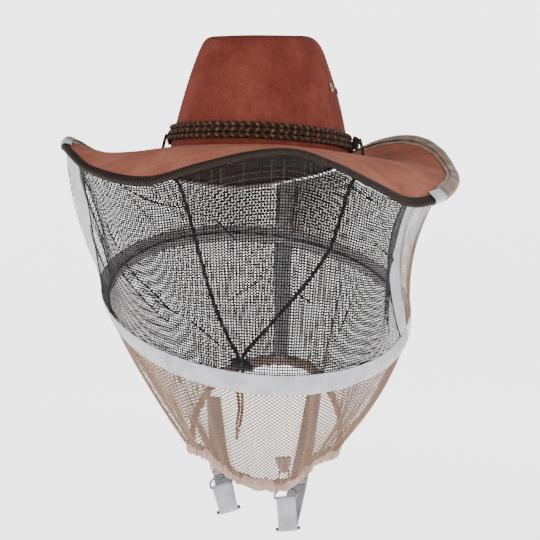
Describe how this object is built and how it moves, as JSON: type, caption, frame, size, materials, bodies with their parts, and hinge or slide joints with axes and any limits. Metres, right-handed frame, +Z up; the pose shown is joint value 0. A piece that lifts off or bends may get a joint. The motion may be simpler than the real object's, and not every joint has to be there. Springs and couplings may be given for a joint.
{
  "type": "beekeeping veil",
  "caption": "Wide-brimmed western hat with a bee veil: fine front window, coarse side and back net, hoop tape, gathered skirt, chin cord and clip-on underarm straps.",
  "frame": {"origin": "middle of the head opening, at the level where crown and brim meet", "axes": "+Z up out of the crown, -Y the way the wearer looks, +X the wearer's left; node names say left and right as seen from the front"},
  "size_m": [0.4005, 0.3975, 0.4773],
  "materials": {
    "felt": "brushed felt",
    "binding": "braided, matt",
    "sweatband": "satin",
    "brass": "aged, satin",
    "rope": "twisted yarn, matt",
    "cord": "braided, matt",
    "plastic": "matt",
    "steel": "dark plated, polished",
    "black_net": "woven mesh, matt",
    "brown_net": "knitted mesh, satin",
    "tape": "woven tape, matt",
    "webbing": "ribbed webbing, matt",
    "elastic": "ribbed, matt"
  },
  "bodies": {
    "root": {"crown_shell": "felt", "brim": "felt", "brim_binding": "binding", "sweatband": "sweatband", "crown_eyelet_front_left": "brass", "crown_eyelet_front_right": "brass", "crown_eyelet_back_left": "brass", "crown_eyelet_back_right": "brass", "brim_eyelet_left": "brass", "brim_eyelet_right": "brass", "band_rope_lower": "rope", "band_rope_middle": "rope", "band_rope_upper": "rope", "band_knot_left": "rope", "band_knot_right": "rope", "rope_tail_left": "rope", "rope_tail_right": "rope", "chin_cord_left": "cord", "chin_cord_right": "cord", "cord_tail_knot": "cord", "front_window_net": "black_net", "back_net_left": "brown_net", "back_net_right": "brown_net", "brim_net_casing": "brown_net", "brim_elastic": "elastic", "brim_tape_left": "tape", "brim_tape_right": "tape", "side_tape_left": "tape", "side_tape_right": "tape", "back_seam_tape_upper": "tape", "back_seam_tape_lower": "tape", "hoop_tape_front": "tape", "hoop_tape_back": "tape", "hoop_wire": "steel", "skirt_net_front": "brown_net", "skirt_net_left": "brown_net", "skirt_net_right": "brown_net", "hem_casing": "brown_net", "hem_elastic": "elastic", "hem_tab_left": "webbing", "hem_tab_right": "webbing", "strap_back_left": "webbing", "strap_back_right": "webbing"},
    "cord_lock": {"cord_lock_body": "plastic", "cord_lock_spring": "steel"},
    "lock_button": {"cord_lock_plunger": "plastic"},
    "hook_left": {"hook_left": "steel"},
    "gate_left": {"hook_gate_left": "steel"},
    "eye_left": {"swivel_eye_left": "steel", "swivel_pin_left": "steel", "strap_front_left": "webbing"},
    "slider_left": {"slider_left": "plastic"},
    "hook_right": {"hook_right": "steel"},
    "gate_right": {"hook_gate_right": "steel"},
    "eye_right": {"swivel_eye_right": "steel", "swivel_pin_right": "steel", "strap_front_right": "webbing"},
    "slider_right": {"slider_right": "plastic"}
  },
  "joints": [
    {"name": "cord_lock_slide", "type": "slide", "parent": "root", "child": "cord_lock", "axis": [0, 0, -1], "range_m": [0, 0.015]},
    {"name": "lock_button_press", "type": "slide", "parent": "cord_lock", "child": "lock_button", "axis": [-0.9703, 0, 0.2419], "range_m": [0, 0.002], "stiffness_N_per_m": 120, "springref_m": -0.002, "deforming": ["cord_lock_spring"]},
    {"name": "hook_swing_left", "type": "hinge", "parent": "root", "child": "hook_left", "pos_m": [-0.0121, -0.081, -0.2953], "axis": [0.2588, -0.9659, 0], "range_deg": [-15, 15]},
    {"name": "gate_open_left", "type": "hinge", "parent": "hook_left", "child": "gate_left", "pos_m": [-0.01458, -0.08167, -0.30486], "axis": [-0.2588, 0.9659, 0], "range_deg": [0, 25], "stiffness_Nm_per_rad": 0.01, "springref_deg": -17.19},
    {"name": "eye_swivel_left", "type": "hinge", "parent": "hook_left", "child": "eye_left", "pos_m": [-0.0121, -0.081, -0.2953], "axis": [-0.2985, -0.08, 0.9511], "range_deg": [-45, 45]},
    {"name": "strap_adjust_left", "type": "slide", "parent": "eye_left", "child": "slider_left", "axis": [-0.2985, -0.08, 0.9511], "range_m": [0, 0.012]},
    {"name": "hook_swing_right", "type": "hinge", "parent": "root", "child": "hook_right", "pos_m": [0.0534, -0.0705, -0.3028], "axis": [0.2588, -0.9659, 0], "range_deg": [-15, 15]},
    {"name": "gate_open_right", "type": "hinge", "parent": "hook_right", "child": "gate_right", "pos_m": [0.04905, -0.07167, -0.31162], "axis": [-0.2588, 0.9659, 0], "range_deg": [0, 25], "stiffness_Nm_per_rad": 0.01, "springref_deg": -17.19},
    {"name": "eye_swivel_right", "type": "hinge", "parent": "hook_right", "child": "eye_right", "pos_m": [0.0534, -0.0705, -0.3028], "axis": [-0.101, -0.0271, 0.9945], "range_deg": [-45, 45]},
    {"name": "strap_adjust_right", "type": "slide", "parent": "eye_right", "child": "slider_right", "axis": [-0.101, -0.0271, 0.9945], "range_m": [0, 0.012]}
  ]
}
